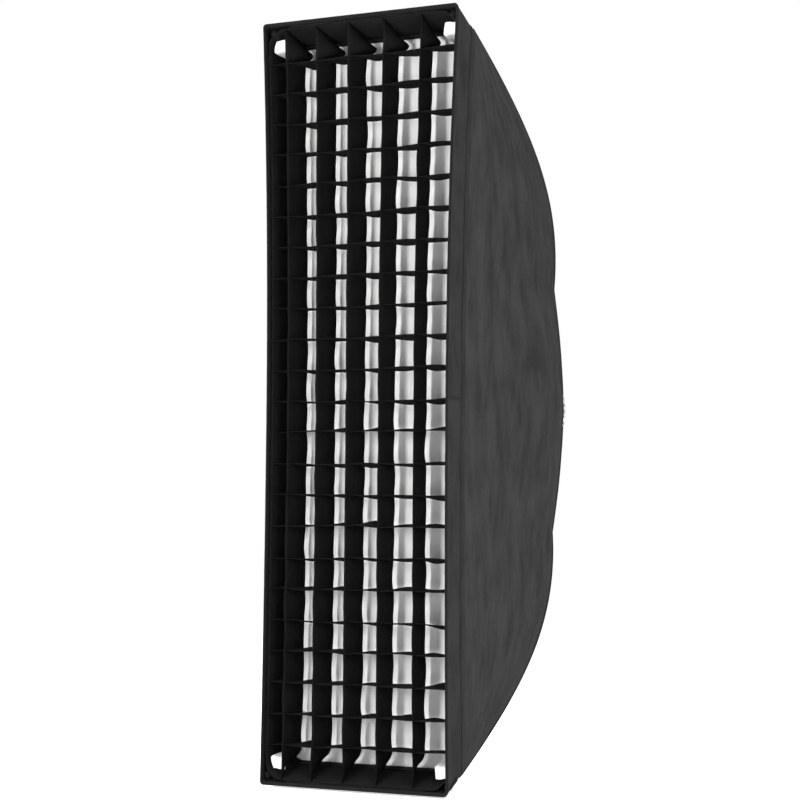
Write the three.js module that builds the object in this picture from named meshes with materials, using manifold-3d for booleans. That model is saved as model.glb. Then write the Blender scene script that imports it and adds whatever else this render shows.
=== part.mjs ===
// A strip softbox: a long, shallow fabric light box on four bent rods and a round speedring.
//
// Frame, in millimetres: X is across the strip, +Z is up its long side and +Y runs from the open front
// back to the speedring. The light axis is the Y axis, and the origin is the centre of the object's box.
// Places along the light axis are given as depths, counted back from the front edge.

import * as THREE from "three";
import { mergeVertices } from "three/addons/utils/BufferGeometryUtils.js";
import Module from "manifold-3d";

const wasm = await Module();
wasm.setup();

// ---- Driving dimensions ------------------------------------------------------------------------------

const HALF_WIDTH = 180; // of the front opening, at its corners
const HALF_HEIGHT = 600;
const TOTAL_DEPTH = 504; // front edge to the ends of the bayonet lugs
const EDGE_BOW = 10; // how far the middle of each long front edge is pulled inwards
const GAP = 0.3; // between pieces that touch

// Shell
const FABRIC = 1.2; // thickness of a fabric layer
const HEM = { depth: 7, width: 4 };
const LIP_DEPTH = 60; // front edge to the seam where the lip meets the shell panels
const CORNER_RADIUS = 6;
const COLLAR_RADIUS = 93; // where the shell ends round the speedring
const TENT_HEIGHT = 200; // up to here the side panels are stretched out over the speedring

// The ridge is the sewn corner line of the shell, over one rod. It is a Bezier curve in height and depth,
// and its distance from the middle plane changes evenly with height.
const RIDGE = { heights: [78, 303, 406, HALF_HEIGHT], depths: [470, 475, 360, 0], rearX: 51 };

// Rods: the centre line is a Bezier curve that runs under the ridge.
const ROD = { radius: 2.5, inset: 7, heights: [50.7, 290, 399.5, 584.5], depths: [463, 467, 355, 13] };
const FERRULE = { inner: 3.1, outer: 4, length: 22 };
const CAP = { inner: 2.9, outer: 4.2, length: 14 };
const POCKET = { inner: 4.6, outer: 5.9, length: 24 };
const END_WALL = 2; // closed ends of the ferrules and caps

// Speedring and bayonet insert: radii, and depths for front, rear and steps
const RING = {
  inner: 58,
  bore: 68.1,
  neck: 77,
  outer: 80,
  front: 452,
  shoulder: 474,
  floor: 478,
  rear: 490,
};
const SOCKET = { boss: 8, bore: 4.4, start: 2, end: 26 };
const INSERT = { inner: 49, outer: 67.5, rear: 489, seatInner: 60, seatOuter: 64.5, seat: 493.5 };
const LUG = { inner: 50, stem: 53.5, outer: 58, hook: 4, halfAngle: 18, angles: [90, 210, 330] };
const SCREW = { circle: 71.5, hole: 1.7, shaft: 1.4, length: 7, head: 3, headHeight: 1.6 };
const WASHER = { radius: 5.5, height: 0.7 };
const SCREW_ANGLES = [45, 135, 225, 315];

// Lock screws, given by distance from the light axis
const LOCK = { depth: 483, bore: 3.1, boss: 6.5, bossStart: 72, bossEnd: 83 };
const TIP = { radius: 2.7, start: 67.9, end: 72 };
const KNOB = { start: 95, end: 107, radius: 9.5, lobes: 6, lobeHeight: 1.2 };

// Fittings inside the lip
const TAPE = { front: 10, rear: 58, thickness: 1.4, cornerGap: 45 };
const BAND = 1.4; // border of the grid and hem of the diffuser
const CLEAR_RADIUS = 36; // their corners, round the rod pockets
const GRID = { longStrips: [-138, -81, -23, 38, 110], rows: 24, wall: 1, front: 8.5, rear: 52 };
const DIFFUSER_DEPTH = 62;

// Inner baffle and the straps that hold it
const BAFFLE = { depth: 250, halfWidth: 105, halfHeight: 330, corner: 12 };
const STRAP = { width: 14, inset: 26, overlap: 8, tab: 22 };
const SNAP = { radius: 6, height: 3 };

// ---- Materials ---------------------------------------------------------------------------------------

const material = (color, roughness, metalness = 0) =>
  new THREE.MeshStandardMaterial({ color, roughness, metalness });

const BLACK_NYLON = material(0x2b2b2c, 0.75);
const BLACK_TAPE = material(0x151515, 0.9);
const GRID_FABRIC = material(0x111112, 0.95);
const WHITE_NYLON = material(0xe6e6e4, 0.8);
const SPRING_STEEL = material(0xb9bcc0, 0.3, 1);
const CAST_ALUMINIUM = material(0x2a2b2d, 0.5, 0.6);
const CHROMED_STEEL = material(0xd4d6d8, 0.2, 1);
const BRASS = material(0xc9a45a, 0.35, 1);
const BLACK_PLASTIC = material(0x18181a, 0.5);

const softbox = new THREE.Group();
softbox.position.y = -TOTAL_DEPTH / 2;

// Every part gets its own material, so that one can be changed without the others.
function addPart(name, geometry, look) {
  const mesh = new THREE.Mesh(geometry, look.clone());
  mesh.name = name;
  softbox.add(mesh);
}

// ---- The shape of the shell --------------------------------------------------------------------------

const { lerp } = THREE.MathUtils;

function bezier([a, b, c, d], t) {
  const s = 1 - t;
  return s * s * s * a + 3 * s * s * t * b + 3 * s * t * t * c + t * t * t * d;
}

// The value between low and high at which a condition, true at low, stops being true.
function lastTrue(condition, low, high) {
  for (let i = 0; i < 40; i++) {
    const middle = (low + high) / 2;
    if (condition(middle)) low = middle;
    else high = middle;
  }
  return low;
}

const ridgeDepthAt = (height) => {
  const t = lastTrue((value) => bezier(RIDGE.heights, value) < height, 0, 1);
  return bezier(RIDGE.depths, t);
};

// Only the part of the ridge in front of its steep bend is searched, where depth falls all the way.
const BEND = 0.35;
const ridgeParameterAt = (depth) => lastTrue((t) => bezier(RIDGE.depths, t) > depth, BEND, 1);
const ridgeHeightAt = (depth) => bezier(RIDGE.heights, ridgeParameterAt(depth));

function ridgeX(height) {
  const t = (height - RIDGE.heights[0]) / (HALF_HEIGHT - RIDGE.heights[0]);
  return lerp(RIDGE.rearX, HALF_WIDTH, t);
}

// Where a point across the straight box goes when its long edges bow inwards.
const bowed = (x, z) => x * (1 - (EDGE_BOW / HALF_WIDTH) * (1 - (z / HALF_HEIGHT) ** 2));

function moveVertices(geometry, move) {
  const p = geometry.getAttribute("position");
  for (let i = 0; i < p.count; i++) p.setXYZ(i, ...move(p.getX(i), p.getY(i), p.getZ(i)));
  geometry.computeVertexNormals();
  return geometry;
}

const bow = (geometry) => moveVertices(geometry, (x, y, z) => [bowed(x, z), y, z]);

// Narrows a prism that was built along the light axis so that it follows the tapering shell.
function taper(geometry) {
  return moveVertices(geometry, (x, depth, z) => {
    const height = ridgeHeightAt(depth);
    return [(x * ridgeX(height)) / HALF_WIDTH, depth, (z * height) / HALF_HEIGHT];
  });
}

// Points round a rectangle with round corners, with extra points up its long sides.
function rectangle(halfWidth, halfHeight, radius, sidePoints = 12) {
  const points = [];
  const x = halfWidth - radius;
  const z = halfHeight - radius;
  const corner = (centreX, centreZ, from) => {
    for (let i = 0; i <= 2; i++) {
      const a = from + (i * Math.PI) / 4;
      points.push(new THREE.Vector2(centreX + radius * Math.cos(a), centreZ + radius * Math.sin(a)));
    }
  };
  const side = (sideX, from, to) => {
    for (let i = 1; i < sidePoints; i++)
      points.push(new THREE.Vector2(sideX, lerp(from, to, i / sidePoints)));
  };
  corner(x, z, 0);
  corner(-x, z, Math.PI / 2);
  side(-halfWidth, z, -z);
  corner(-x, -z, Math.PI);
  corner(x, -z, -Math.PI / 2);
  side(halfWidth, -z, z);
  return points;
}

// The outline of the lip, a given distance in from the shell's outer face.
function lipOutline(inset, radius) {
  const points = rectangle(HALF_WIDTH - inset, HALF_HEIGHT - inset, radius);
  return points.map(({ x, y }) => new THREE.Vector2(bowed(x, y), y));
}

// Extrudes a shape drawn in X and Z back along the light axis, from one depth to another.
function alongAxis(shape, front, rear) {
  const options = { depth: rear - front, steps: 1, bevelEnabled: false, curveSegments: 6 };
  return new THREE.ExtrudeGeometry(shape, options).rotateX(Math.PI / 2).translate(0, rear, 0);
}

// A closed band that follows the lip, a given distance in from the shell's outer face.
function lipRing(inset, thickness, front, rear, radius = CORNER_RADIUS) {
  const shape = new THREE.Shape(lipOutline(inset, radius));
  shape.holes.push(new THREE.Path(lipOutline(inset + thickness, radius - thickness)));
  return taper(alongAxis(shape, front, rear));
}

// A thick sheet over a surface given as surface(u, v), with u and v from 0 to 1.
function sheet(surface, across, along) {
  const geometry = new THREE.BoxGeometry(1, 1, 1, across, along, 1);
  const p = geometry.getAttribute("position");
  const step = 1e-3;
  for (let i = 0; i < p.count; i++) {
    const u = p.getX(i) + 0.5;
    const v = p.getY(i) + 0.5;
    const du = surface(u + step, v).sub(surface(u - step, v));
    const dv = surface(u, v + step).sub(surface(u, v - step));
    const point = surface(u, v).addScaledVector(du.cross(dv).normalize(), p.getZ(i) * FABRIC);
    p.setXYZ(i, point.x, point.y, point.z);
  }
  geometry.computeVertexNormals();
  return geometry;
}

// ---- Solids: joining, cutting, turning and aiming ----------------------------------------------------

const UP = new THREE.Vector3(0, 1, 0);

function solid(geometry) {
  const bare = geometry.index ? geometry.toNonIndexed() : geometry.clone();
  bare.deleteAttribute("normal");
  bare.deleteAttribute("uv");
  const merged = mergeVertices(bare, 1e-4);
  const vertProperties = merged.getAttribute("position").array;
  const triVerts = new Uint32Array(merged.index.array);
  return new wasm.Manifold(new wasm.Mesh({ numProp: 3, vertProperties, triVerts }));
}

function geometryOf(manifold) {
  const { vertProperties, triVerts } = manifold.getMesh();
  const geometry = new THREE.BufferGeometry()
    .setAttribute("position", new THREE.BufferAttribute(vertProperties, 3))
    .setIndex(new THREE.BufferAttribute(triVerts, 1));
  geometry.computeVertexNormals();
  return geometry;
}

// A body turned about the Y axis, from [radius, y] points. A section off the axis is closed on itself.
function turned(points, segments) {
  const onAxis = points[0][0] === 0;
  const profile = onAxis ? points : [...points, points[0]];
  const section = profile.map(([radius, y]) => new THREE.Vector2(radius, y));
  return new THREE.LatheGeometry(section, segments);
}

function cylinder(radius, from, to, segments = 16) {
  return new THREE.CylinderGeometry(radius, radius, to - from, segments).translate(0, (from + to) / 2, 0);
}

// A tube closed at its base, built up along Y.
function cup({ inner, outer, length }, base, floor) {
  const points = [[0, base], [outer, base], [outer, length], [inner, length], [inner, floor], [0, floor]];
  return turned(points, 16);
}

// Turns a shape that was built along Y to a direction, and moves it to a place.
function aim(geometry, place, direction) {
  const turn = new THREE.Quaternion().setFromUnitVectors(UP, direction.clone().normalize());
  return geometry.applyQuaternion(turn).translate(place.x, place.y, place.z);
}

// ---- Rods, with their ferrules, front caps and corner pockets ----------------------------------------

const CORNERS = [
  { name: "top_left", x: -1, z: 1 },
  { name: "top_right", x: 1, z: 1 },
  { name: "bottom_left", x: -1, z: -1 },
  { name: "bottom_right", x: 1, z: -1 },
];

function rodCurve(corner) {
  const point = (height, i) =>
    new THREE.Vector3(corner.x * (ridgeX(height) - ROD.inset), ROD.depths[i], corner.z * height);
  return new THREE.CubicBezierCurve3(...ROD.heights.map(point));
}

function circle(radius, count) {
  const points = [];
  for (let i = 0; i < count; i++) {
    const a = (2 * Math.PI * i) / count;
    points.push(new THREE.Vector2(radius * Math.cos(a), radius * Math.sin(a)));
  }
  return new THREE.Shape(points);
}

function addRod(corner) {
  const curve = rodCurve(corner);
  const options = { steps: 22, extrudePath: curve, bevelEnabled: false };
  addPart(`rod_${corner.name}`, new THREE.ExtrudeGeometry(circle(ROD.radius, 12), options), SPRING_STEEL);

  const base = -END_WALL - GAP;
  const ferrule = cup(FERRULE, base, -GAP);
  addPart(`rod_ferrule_${corner.name}`, aim(ferrule, curve.getPoint(0), curve.getTangent(0)), BRASS);

  const tip = curve.getPoint(1);
  const inwards = curve.getTangent(1).negate();
  addPart(`rod_cap_${corner.name}`, aim(cup(CAP, base, -GAP), tip, inwards), BLACK_PLASTIC);
  const pocket = cup(POCKET, base - GAP - FABRIC, base - GAP);
  addPart(`corner_pocket_${corner.name}`, aim(pocket, tip, inwards), BLACK_TAPE);
}

// ---- Speedring: socket ring, neck, rod sockets and lock bosses ---------------------------------------

const RING_SEGMENTS = 64;
const LOCK_CENTRE = new THREE.Vector3(0, LOCK.depth, 0);
const LOCK_SIDES = { top: new THREE.Vector3(0, 0, 1), bottom: new THREE.Vector3(0, 0, -1) };

function onCircle(radius, degrees, depth) {
  const a = THREE.MathUtils.degToRad(degrees);
  return new THREE.Vector3(radius * Math.cos(a), depth, radius * Math.sin(a));
}

function ringBody() {
  const { inner, outer, neck, bore, front, shoulder, floor, rear } = RING;
  const outside = [[inner, front], [outer, front], [outer, shoulder], [neck, shoulder], [neck, rear]];
  const inside = [[bore, rear], [bore, floor], [inner, floor]];
  return solid(turned([...outside, ...inside], RING_SEGMENTS));
}

function speedring() {
  const bosses = [];
  const holes = [];
  for (const corner of CORNERS) {
    const curve = rodCurve(corner);
    const atSocket = (geometry) => solid(aim(geometry, curve.getPoint(0), curve.getTangent(0)));
    bosses.push(atSocket(cylinder(SOCKET.boss, SOCKET.start, SOCKET.end)));
    holes.push(atSocket(cylinder(SOCKET.bore, -END_WALL - 2 * GAP, SOCKET.end + SOCKET.boss)));
  }
  for (const side of Object.values(LOCK_SIDES)) {
    bosses.push(solid(aim(cylinder(LOCK.boss, LOCK.bossStart, LOCK.bossEnd), LOCK_CENTRE, side)));
    holes.push(solid(aim(cylinder(LOCK.bore, RING.inner, LOCK.bossEnd + 1), LOCK_CENTRE, side)));
  }
  for (const angle of SCREW_ANGLES) {
    const hole = cylinder(SCREW.hole, -SCREW.length - 1, 1, 8);
    holes.push(solid(aim(hole, onCircle(SCREW.circle, angle, RING.rear), UP)));
  }
  const joined = wasm.Manifold.union([ringBody(), ...bosses]);
  return geometryOf(joined.subtract(wasm.Manifold.union(holes)));
}

// A washer and a pan screw on the neck's rear face. The washer's edge reaches over the insert.
function addRetainer(angle, number) {
  const place = onCircle(SCREW.circle, angle, RING.rear);
  const top = GAP + WASHER.height;
  const washer = [[SCREW.hole, GAP], [WASHER.radius, GAP], [WASHER.radius, top], [SCREW.hole, top]];
  addPart(`retaining_washer_${number}`, aim(turned(washer, 20), place, UP), CHROMED_STEEL);
  const { length, shaft, head, headHeight } = SCREW;
  const under = top + GAP;
  const end = under + headHeight;
  const screw = [[0, -length], [shaft, -length], [shaft, under], [head, under], [head, end], [0, end]];
  addPart(`retaining_screw_${number}`, aim(turned(screw, 16), place, UP), CHROMED_STEEL);
}

// ---- Bayonet insert: turns in the speedring's neck and holds the lamp --------------------------------

function sector(inner, outer, angle) {
  const from = THREE.MathUtils.degToRad(angle - LUG.halfAngle);
  const to = THREE.MathUtils.degToRad(angle + LUG.halfAngle);
  return new THREE.Shape().absarc(0, 0, outer, from, to, false).absarc(0, 0, inner, to, from, true);
}

function bayonetInsert() {
  const { inner, outer, rear, seatInner, seatOuter, seat } = INSERT;
  const front = RING.floor + GAP;
  const drum = [[inner, front], [outer, front], [outer, rear], [seatOuter, rear]];
  const rim = [[seatOuter, seat], [seatInner, seat], [seatInner, rear], [inner, rear]];
  const pieces = [solid(turned([...drum, ...rim], RING_SEGMENTS))];
  for (const angle of LUG.angles) {
    pieces.push(solid(alongAxis(sector(LUG.inner, LUG.stem, angle), rear - 1, TOTAL_DEPTH)));
    pieces.push(solid(alongAxis(sector(LUG.inner, LUG.outer, angle), TOTAL_DEPTH - LUG.hook, TOTAL_DEPTH)));
  }
  return geometryOf(wasm.Manifold.union(pieces));
}

// ---- Lock screws: a brass tip presses on the insert, a lobed knob turns it ---------------------------

function lobedOutline({ radius, lobes, lobeHeight }) {
  const points = [];
  const count = lobes * 6;
  for (let i = 0; i < count; i++) {
    const a = (2 * Math.PI * i) / count;
    const r = radius + lobeHeight * Math.cos(lobes * a);
    points.push(new THREE.Vector2(r * Math.cos(a), r * Math.sin(a)));
  }
  return new THREE.Shape(points);
}

function lockKnob() {
  const options = { depth: KNOB.end - KNOB.start, bevelEnabled: false };
  const head = new THREE.ExtrudeGeometry(lobedOutline(KNOB), options).rotateX(-Math.PI / 2);
  const shaft = cylinder(TIP.radius, TIP.end + GAP, KNOB.start + 1, 12);
  return geometryOf(solid(head.translate(0, KNOB.start, 0)).add(solid(shaft)));
}

function addLockScrew(name, side) {
  const tip = cylinder(TIP.radius, TIP.start, TIP.end, 12);
  addPart(`lock_tip_${name}`, aim(tip, LOCK_CENTRE, side), BRASS);
  addPart(`lock_knob_${name}`, aim(lockKnob(), LOCK_CENTRE, side), BLACK_PLASTIC);
}

// ---- Shell: side panels, top and bottom panels, and rear collar --------------------------------------

const PANEL_FRONT = LIP_DEPTH + GAP;
const PANEL_TIP = 14; // how far each tip of a side panel stops short of the lip seam's corner
const PANEL_EDGE = 3; // how far the top and bottom panels stay inside the side panels

// Half the width of the shell along its rear edge: on the ridge, or nearer the middle, stretched out
// over the speedring.
function rearEdgeX(height) {
  if (height >= TENT_HEIGHT) return ridgeX(height);
  const t = height / TENT_HEIGHT;
  return lerp(COLLAR_RADIUS, ridgeX(TENT_HEIGHT), t * t * (3 - 2 * t));
}

function sidePanel(side) {
  const seamHeight = ridgeHeightAt(PANEL_FRONT);
  const reach = seamHeight - PANEL_TIP;
  const surface = (u, v) => {
    const height = lerp(-reach, reach, u);
    const z = Math.min(Math.abs(height), HALF_HEIGHT);
    const seamX = bowed(ridgeX(seamHeight), (height * HALF_HEIGHT) / seamHeight);
    const rearDepth = ridgeDepthAt(Math.max(z, RIDGE.heights[0]));
    const x = lerp(seamX, rearEdgeX(z), v) - FABRIC / 2;
    return new THREE.Vector3(side * x, lerp(PANEL_FRONT, rearDepth, v), side * height);
  };
  return sheet(surface, 20, 4);
}

// A curved panel across the top (up = 1) or the bottom (up = -1), cut round where it meets the collar.
function endPanel(up) {
  const start = ridgeParameterAt(PANEL_FRONT);
  const surface = (u, v) => {
    const t = start * (1 - v);
    const ridge = bezier(RIDGE.heights, t);
    const halfWidth = rearEdgeX(ridge) - PANEL_EDGE;
    const x = lerp(-halfWidth, halfWidth, u);
    const collar = Math.sqrt(Math.max(COLLAR_RADIUS ** 2 - x * x, 0)) - RIDGE.heights[0];
    const height = ridge - FABRIC / 2 + collar * v ** 6;
    return new THREE.Vector3(-up * x, bezier(RIDGE.depths, t), up * height);
  };
  return sheet(surface, 6, 16);
}

// A flat cone that closes the shell against the speedring's shoulder.
function rearCollar() {
  const outer = COLLAR_RADIUS - 1;
  const inner = RING.outer + FABRIC;
  const depth = RIDGE.depths[0] + 1;
  const section = [[outer, depth], [outer, depth + FABRIC], [inner, RING.shoulder + FABRIC]];
  return turned([...section, [inner, RING.shoulder]], RING_SEGMENTS);
}

// ---- Inside the lip: loop tape, diffuser and grid ----------------------------------------------------

const TAPE_INSET = FABRIC + GAP;
const FITTING_INSET = TAPE_INSET + TAPE.thickness + GAP;

// A strip of tape on one wall of the lip. It is laid out in the straight box, then fitted to the shell.
function loopTape(onSide, sign) {
  const wall = onSide ? HALF_WIDTH : HALF_HEIGHT;
  const length = 2 * ((onSide ? HALF_HEIGHT : HALF_WIDTH) - TAPE.cornerGap);
  const depth = TAPE.rear - TAPE.front;
  const offset = sign * (wall - TAPE_INSET - TAPE.thickness / 2);
  const middle = (TAPE.front + TAPE.rear) / 2;
  const strip = onSide
    ? new THREE.BoxGeometry(TAPE.thickness, depth, length, 1, 1, 12).translate(offset, middle, 0)
    : new THREE.BoxGeometry(length, depth, TAPE.thickness, 4, 1, 1).translate(0, middle, offset);
  return taper(bow(strip));
}

function frontDiffuser() {
  const shape = new THREE.Shape(lipOutline(FITTING_INSET, CLEAR_RADIUS));
  return taper(alongAxis(shape, DIFFUSER_DEPTH - FABRIC, DIFFUSER_DEPTH));
}

// The long and cross strips of the grid, joined where they cross.
function gridCells() {
  const halfWidth = HALF_WIDTH - FITTING_INSET - BAND - GAP;
  const halfHeight = HALF_HEIGHT - FITTING_INSET - BAND - GAP;
  const strip = (width, height, x, z) => {
    const box = new THREE.BoxGeometry(width, GRID.rear - GRID.front, height);
    return solid(box.translate(x, (GRID.front + GRID.rear) / 2, z));
  };
  const strips = [];
  for (const x of GRID.longStrips) strips.push(strip(GRID.wall, 2 * halfHeight, x, 0));
  for (let j = 1; j < GRID.rows; j++)
    strips.push(strip(2 * halfWidth, GRID.wall, 0, lerp(-halfHeight, halfHeight, j / GRID.rows)));
  return taper(bow(geometryOf(wasm.Manifold.union(strips))));
}

// ---- Inner baffle, on elastic straps that snap to tabs in the shell's seams --------------------------

function innerBaffle() {
  const outline = rectangle(BAFFLE.halfWidth, BAFFLE.halfHeight, BAFFLE.corner, 1);
  return alongAxis(new THREE.Shape(outline), BAFFLE.depth - FABRIC, BAFFLE.depth);
}

function addStrap(corner) {
  const quadrant = new THREE.Vector2(corner.x, corner.z);
  const onBaffle = new THREE.Vector2(BAFFLE.halfWidth, BAFFLE.halfHeight).subScalar(STRAP.width);
  const seamHeight = ridgeHeightAt(BAFFLE.depth);
  const start = onBaffle.multiply(quadrant);
  const snap = new THREE.Vector2(ridgeX(seamHeight), seamHeight).subScalar(STRAP.inset).multiply(quadrant);
  const run = snap.clone().sub(start);

  // A flat band along the strap, between two distances past the strap's start.
  const band = (from, to, depth) =>
    new THREE.BoxGeometry(to - from, FABRIC, STRAP.width)
      .translate((from + to) / 2, 0, 0)
      .rotateY(-run.angle())
      .translate(start.x, depth, start.y);

  const length = run.length();
  const strapDepth = BAFFLE.depth - 2 * (FABRIC + GAP);
  const tabDepth = strapDepth + FABRIC + SNAP.height;
  addPart(`baffle_strap_${corner.name}`, band(0, length + STRAP.overlap, strapDepth), BLACK_TAPE);
  const tab = band(length - STRAP.overlap, length + STRAP.tab, tabDepth);
  addPart(`seam_tab_${corner.name}`, tab, BLACK_TAPE);
  const clearance = FABRIC / 2 + GAP;
  const button = cylinder(SNAP.radius, strapDepth + clearance, tabDepth - clearance, 12);
  addPart(`snap_button_${corner.name}`, button.translate(snap.x, 0, snap.y), CHROMED_STEEL);
}

// ---- Assembly ----------------------------------------------------------------------------------------

addPart("bayonet_insert", bayonetInsert(), CHROMED_STEEL);
addPart("speedring", speedring(), CAST_ALUMINIUM);
SCREW_ANGLES.forEach((angle, i) => addRetainer(angle, i + 1));
for (const [name, side] of Object.entries(LOCK_SIDES)) addLockScrew(name, side);

for (const corner of CORNERS) addRod(corner);

addPart("front_hem", lipRing(0, HEM.width, 0, HEM.depth), BLACK_TAPE);
addPart("lip_band", lipRing(0, FABRIC, HEM.depth + GAP, LIP_DEPTH), BLACK_NYLON);
addPart("side_panel_left", sidePanel(-1), BLACK_NYLON);
addPart("side_panel_right", sidePanel(1), BLACK_NYLON);
addPart("top_panel", endPanel(1), BLACK_NYLON);
addPart("bottom_panel", endPanel(-1), BLACK_NYLON);
addPart("rear_collar", rearCollar(), BLACK_TAPE);

addPart("loop_tape_left", loopTape(true, -1), BLACK_TAPE);
addPart("loop_tape_right", loopTape(true, 1), BLACK_TAPE);
addPart("loop_tape_top", loopTape(false, 1), BLACK_TAPE);
addPart("loop_tape_bottom", loopTape(false, -1), BLACK_TAPE);

const diffuserHem = [GRID.rear + 1, DIFFUSER_DEPTH - FABRIC - GAP, CLEAR_RADIUS];
addPart("diffuser_hem", lipRing(FITTING_INSET, BAND, ...diffuserHem), BLACK_TAPE);
addPart("front_diffuser", frontDiffuser(), WHITE_NYLON);
addPart("grid_border", lipRing(FITTING_INSET, BAND, GRID.front, GRID.rear, CLEAR_RADIUS), BLACK_TAPE);
addPart("grid_cells", gridCells(), GRID_FABRIC);

addPart("inner_baffle", innerBaffle(), WHITE_NYLON);
for (const corner of CORNERS) addStrap(corner);

export default softbox;
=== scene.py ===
import functools
import math
import random

import bmesh
import bpy
import numpy as np
from mathutils import Matrix, Vector, noise


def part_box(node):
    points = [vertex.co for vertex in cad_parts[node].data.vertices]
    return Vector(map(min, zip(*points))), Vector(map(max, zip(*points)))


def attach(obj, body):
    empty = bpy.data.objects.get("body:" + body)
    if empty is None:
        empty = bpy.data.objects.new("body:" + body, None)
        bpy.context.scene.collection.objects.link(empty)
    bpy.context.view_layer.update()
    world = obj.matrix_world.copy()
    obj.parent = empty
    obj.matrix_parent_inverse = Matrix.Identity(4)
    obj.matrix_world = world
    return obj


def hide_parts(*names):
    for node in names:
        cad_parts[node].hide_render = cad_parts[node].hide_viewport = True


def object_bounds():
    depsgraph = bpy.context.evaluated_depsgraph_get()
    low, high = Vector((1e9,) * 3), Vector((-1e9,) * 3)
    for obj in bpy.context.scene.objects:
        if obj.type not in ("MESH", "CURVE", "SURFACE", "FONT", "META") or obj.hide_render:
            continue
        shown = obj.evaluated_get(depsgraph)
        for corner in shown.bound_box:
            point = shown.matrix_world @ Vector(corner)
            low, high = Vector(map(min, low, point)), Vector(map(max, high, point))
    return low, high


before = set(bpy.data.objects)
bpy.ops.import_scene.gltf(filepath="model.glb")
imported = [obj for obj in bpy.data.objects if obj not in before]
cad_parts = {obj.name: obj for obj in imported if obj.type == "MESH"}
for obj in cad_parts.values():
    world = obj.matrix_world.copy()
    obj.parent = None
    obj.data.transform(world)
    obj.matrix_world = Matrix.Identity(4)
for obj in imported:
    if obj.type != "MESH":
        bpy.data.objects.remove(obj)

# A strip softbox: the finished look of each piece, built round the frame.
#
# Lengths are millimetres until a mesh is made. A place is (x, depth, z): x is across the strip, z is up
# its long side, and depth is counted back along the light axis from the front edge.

CAD_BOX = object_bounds()
MM = 0.001


def low(node):
    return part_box(node)[0] / MM


def high(node):
    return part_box(node)[1] / MM


# ---- Driving dimensions ----

FRONT = low("front_hem").y


def start_depth(node):
    return low(node).y - FRONT


def end_depth(node):
    return high(node).y - FRONT


HALF_HEIGHT = high("front_hem").z
HALF_WIDTH = 180.0
EDGE_BOW = 10.0  # how far the middle of each long front edge is pulled inwards
FABRIC = 1.2  # thickness of a layer of shell cloth
THIN = 0.7  # thickness of the grid's, the diffuser's and the baffle's cloth

HEM_DEPTH = end_depth("front_hem")
HEM_WIDTH = 4.0
LIP_DEPTH = end_depth("lip_band")
CORNER_RADIUS = 8.0
FLARE = 0.025  # the share by which the front is wider at its top corners and narrower at its bottom ones
COLLAR_RADIUS = 93.0
COLLAR_DEPTH = start_depth("rear_collar")
TENT_HEIGHT = 200.0  # up to here the cloth is stretched out over the speedring

# The ridge is the corner line of the shell over a rod: a Bezier curve in height and depth.
RIDGE_HEIGHTS = (78.0, 303.0, 406.0, HALF_HEIGHT)
RIDGE_DEPTHS = (470.0, 475.0, 360.0, 0.0)
RIDGE_REAR_X = 51.0
RIDGE_BEND = 0.35  # in front of this parameter the ridge's depth falls all the way

ROD_HEIGHTS = (50.7, 290.0, 399.5, 584.5)
ROD_DEPTHS = (463.0, 467.0, 355.0, 13.0)
ROD_INSET = 7.0
ROD_RADIUS = 2.5

TAPE_INSET = 1.5
TAPE_THICKNESS = 1.4
TAPE_GAP = 45.0  # from the end of a tape to the corner
TAPE_FRONT = start_depth("loop_tape_left")
TAPE_REAR = end_depth("loop_tape_left")

FITTING_INSET = 3.6  # of the grid's border and the diffuser's binding, from the shell's outer face
CLEAR_RADIUS = 30.0  # of their corners, round the rod pockets
GRID_FRONT = start_depth("grid_border")
GRID_REAR = end_depth("grid_border")
ROW_PITCH = 49.1
ROWS = 24
LONG_FRONT = (-143.5, -85.0, -24.0, 41.0, 110.5)  # front edges of the long strips
LONG_REAR = (-140.5, -80.0, -18.0, 44.0, 108.5)  # their rear edges, where the strips lean
DIFFUSER_DEPTH = end_depth("front_diffuser")

SIDES = {"left": -1, "right": 1}
ENDS = {"top": 1, "bottom": -1}
CORNERS = {f"{end}_{side}": (x, z) for end, z in ENDS.items() for side, x in SIDES.items()}

OUTLINE_SPACING = 5.0  # of the points round the lip
CORNER_STEPS = 8


# ---- The shape of the shell ----


def lerp(a, b, t):
    return a + (b - a) * t


def smooth(t):
    t = min(max(t, 0.0), 1.0)
    return t * t * (3 - 2 * t)


def shares(count):
    """Evenly spaced values from 0 to 1."""
    return [i / count for i in range(count + 1)]


def swell(t, power=1.0):
    """Rises from 0 at t = 0 to 1 half way and falls to 0 at t = 1. A power below 1 flattens its top."""
    return math.sin(math.pi * t) ** power


def bezier(values, t):
    a, b, c, d = values
    s = 1 - t
    return s**3 * a + 3 * s * s * t * b + 3 * s * t * t * c + t**3 * d


def last_true(condition, start, end):
    """The value between start and end at which a condition, true at the start, stops being true."""
    for _ in range(40):
        middle = (start + end) / 2
        if condition(middle):
            start = middle
        else:
            end = middle
    return start


@functools.lru_cache(maxsize=None)
def ridge_depth_at(height):
    t = last_true(lambda value: bezier(RIDGE_HEIGHTS, value) < height, 0.0, 1.0)
    return bezier(RIDGE_DEPTHS, t)


@functools.lru_cache(maxsize=None)
def ridge_parameter_at(depth):
    return last_true(lambda t: bezier(RIDGE_DEPTHS, t) > depth, RIDGE_BEND, 1.0)


def ridge_height_at(depth):
    return bezier(RIDGE_HEIGHTS, ridge_parameter_at(depth))


def ridge_x(height):
    t = (height - RIDGE_HEIGHTS[0]) / (HALF_HEIGHT - RIDGE_HEIGHTS[0])
    return lerp(RIDGE_REAR_X, HALF_WIDTH, t)


def rear_edge_x(height):
    """Half the shell's width along its rear edge: on the ridge, or stretched out over the speedring."""
    if height >= TENT_HEIGHT:
        return ridge_x(height)
    return lerp(COLLAR_RADIUS, ridge_x(TENT_HEIGHT), smooth(height / TENT_HEIGHT))


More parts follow.
